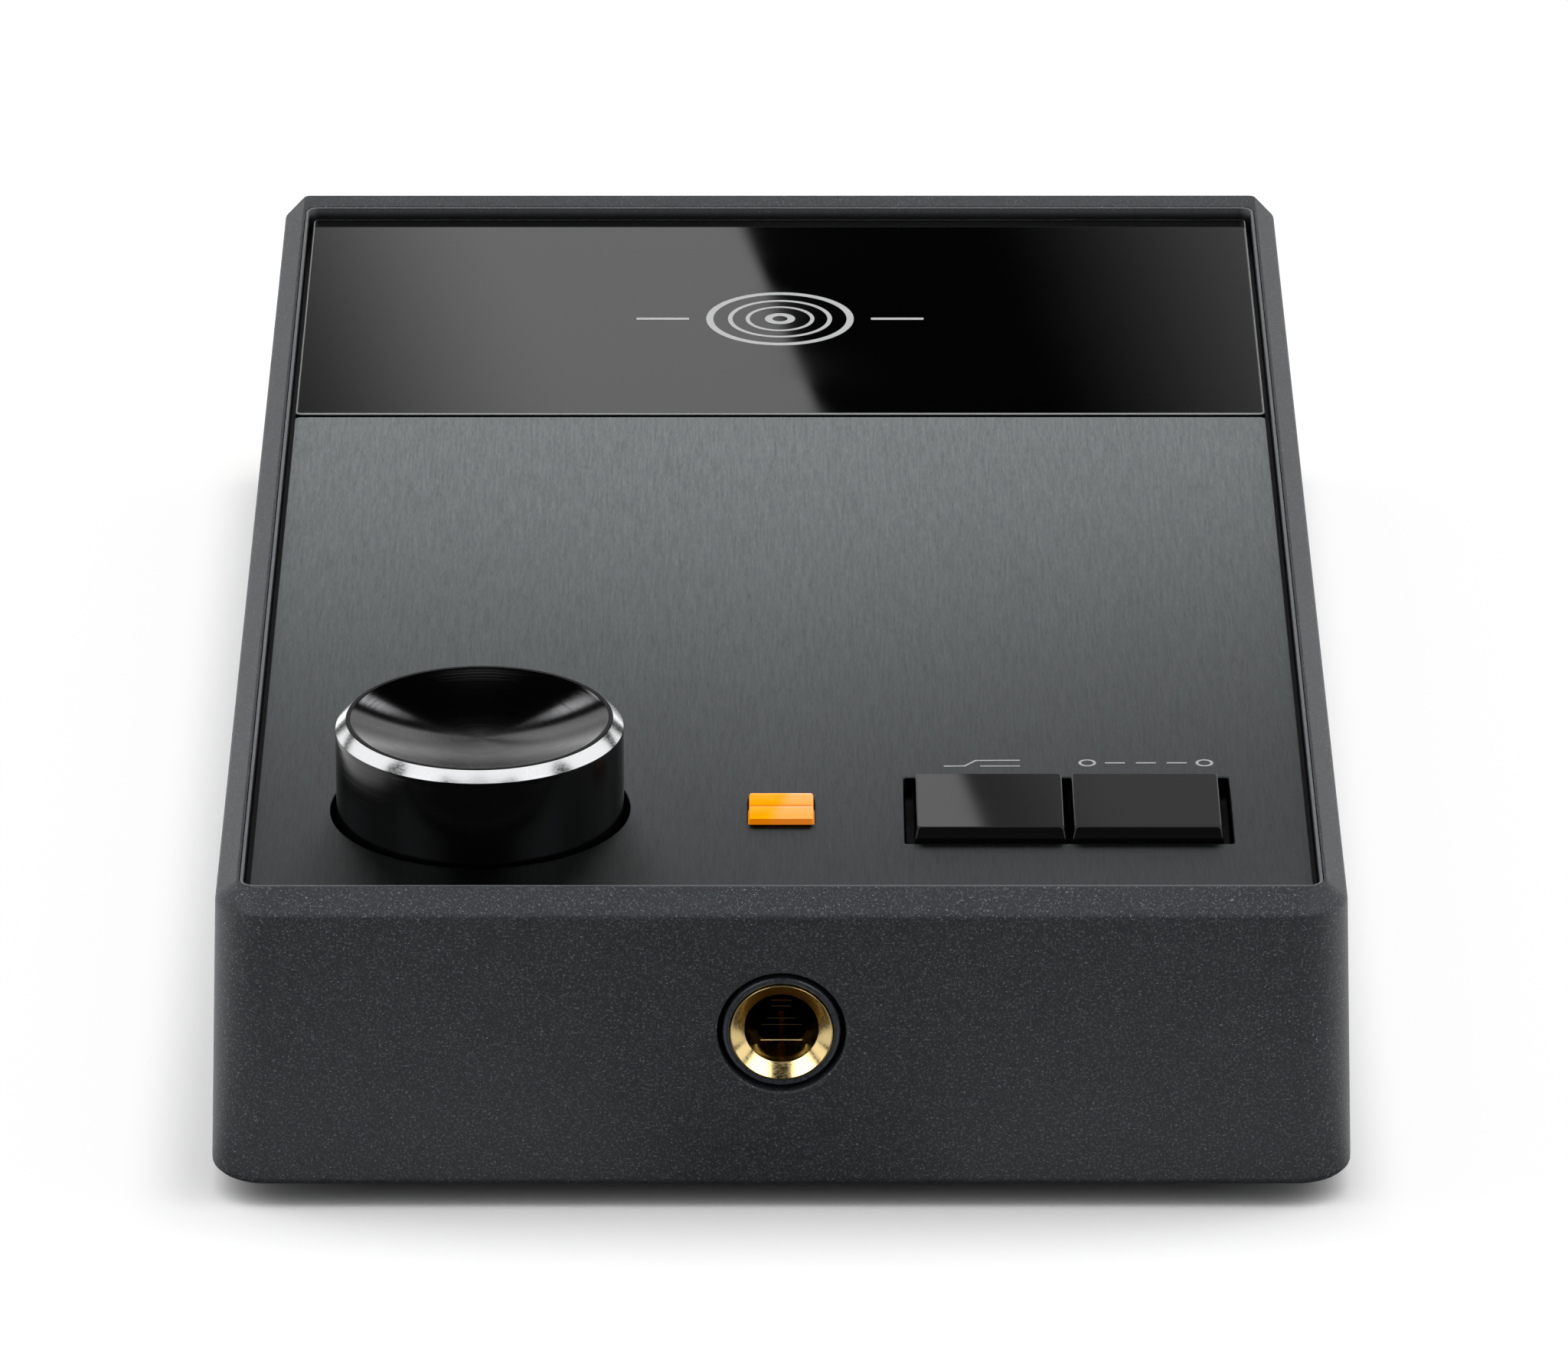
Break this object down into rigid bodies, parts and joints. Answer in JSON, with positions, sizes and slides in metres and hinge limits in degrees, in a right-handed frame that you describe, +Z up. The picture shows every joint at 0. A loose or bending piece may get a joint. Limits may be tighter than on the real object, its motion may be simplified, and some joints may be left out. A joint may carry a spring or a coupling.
{
  "type": "desktop phono preamplifier with headphone output",
  "caption": "Slim dark desktop audio box with a brushed top plate, gloss window, dished volume knob, lit lens, push buttons, a front headphone socket and rear sockets.",
  "frame": {"origin": "on the ground, under the middle of the whole footprint including the rear sockets", "axes": "+Z up, -Y towards the front face with the headphone socket, +X to the right seen from the front"},
  "size_m": [0.1016, 0.1852, 0.038],
  "materials": {
    "powder_coat": "fine textured charcoal powder coat with a slight sparkle",
    "black_sheet": "satin black painted steel sheet",
    "black_screw": "black oxide steel",
    "bright_steel": "bright zinc plated steel",
    "foot_rubber": "matt black rubber",
    "frame_plastic": "satin charcoal moulded plastic",
    "brushed_plate": "dark grey anodised, brushed front to back",
    "window_glass": "gloss black back-painted glass",
    "tape": "white double-sided tape",
    "board_green": "green solder mask on glass laminate",
    "brass_plain": "turned brass",
    "pot_blue": "moulded control housing",
    "insert_black": "moulded black plastic",
    "knob_black": "gloss black anodised, bright diamond-cut chamfer on the rim",
    "lens_amber": "clear amber, lit from below",
    "lamp_white": "lamp package",
    "ribbon_grey": "flat flexible cable",
    "button_gloss": "polished black",
    "plunger_white": "natural acetal",
    "switch_black": "moulded black plastic",
    "spring_steel": "spring wire",
    "jack_black": "moulded black plastic",
    "collar_dark": "dark satin ring",
    "gold": "gold plated",
    "insert_white": "white insulator",
    "insert_red": "red insulator",
    "port_steel": "tin plated sheet steel",
    "port_plastic": "moulded tongue",
    "capacitor_blue": "shrink sleeve",
    "film_red": "moulded capacitor case",
    "chip_black": "moulded epoxy",
    "relay_cream": "moulded relay case"
  },
  "bodies": {
    "chassis": {"case_shell": "powder_coat", "base_plate": "black_sheet", "base_screws": "black_screw", "feet": "foot_rubber", "top_frame": "frame_plastic", "top_plate": "brushed_plate", "glass_window": "window_glass", "mounting_tapes": "tape", "rear_panel": "black_sheet", "rear_panel_screws": "black_screw", "main_board": "board_green", "board_standoffs": "brass_plain", "board_screws": "bright_steel", "pot_body": "pot_blue", "led_lens": "lens_amber", "led_chip": "lamp_white", "led_board": "board_green", "led_ribbon": "ribbon_grey", "left_spring": "spring_steel", "right_spring": "spring_steel", "switch_bodies": "switch_black", "jack_body": "jack_black", "jack_sleeve": "gold", "jack_collar": "collar_dark", "jack_contacts": "gold", "phono_housings": "jack_black", "phono_shells": "gold", "phono_inserts_left": "insert_white", "phono_inserts_right": "insert_red", "phono_contacts": "gold", "dc_inlet_body": "jack_black", "dc_inlet_pin": "bright_steel", "usb_shell": "port_steel", "usb_tongue": "port_plastic", "earth_stud": "gold", "earth_lock_nut": "bright_steel", "filter_capacitors": "capacitor_blue", "film_capacitors": "film_red", "op_amp_chips": "chip_black", "mute_relays": "relay_cream", "voltage_regulators": "chip_black", "converter_chip": "chip_black", "clock_crystal": "bright_steel"},
    "volume_control": {"pot_shaft": "bright_steel", "knob_insert": "insert_black", "volume_knob": "knob_black"},
    "left_button_body": {"left_button": "button_gloss", "left_plunger": "plunger_white"},
    "right_button_body": {"right_button": "button_gloss", "right_plunger": "plunger_white"},
    "earth_washer_body": {"earth_washer": "bright_steel"},
    "earth_nut_body": {"earth_thumb_nut": "gold"}
  },
  "joints": [
    {"name": "volume_turn", "type": "hinge", "parent": "chassis", "child": "volume_control", "pos_m": [-0.027, -0.0706, 0.027], "axis": [0, 0, 1], "range_deg": [-150, 150]},
    {"name": "left_button_press", "type": "slide", "parent": "chassis", "child": "left_button_body", "axis": [0, 0, -1], "range_m": [0, 0.0015], "stiffness_N_per_m": 400, "springref_m": -0.002, "deforming": ["left_spring"]},
    {"name": "right_button_press", "type": "slide", "parent": "chassis", "child": "right_button_body", "axis": [0, 0, -1], "range_m": [0, 0.0015], "stiffness_N_per_m": 400, "springref_m": -0.002, "deforming": ["right_spring"]},
    {"name": "earth_washer_slide", "type": "slide", "parent": "chassis", "child": "earth_washer_body", "axis": [0, 1, 0], "range_m": [0, 0.0035]},
    {"name": "earth_nut_turn", "type": "hinge", "parent": "earth_washer_body", "child": "earth_nut_body", "pos_m": [-0.013, 0.0836, 0.0152], "axis": [0, 1, 0], "range_deg": [0, 1800.5]}
  ],
  "couplings": [
    {"joint": "earth_nut_turn", "follows": "earth_washer_slide", "rad_per_m": 8976}
  ]
}
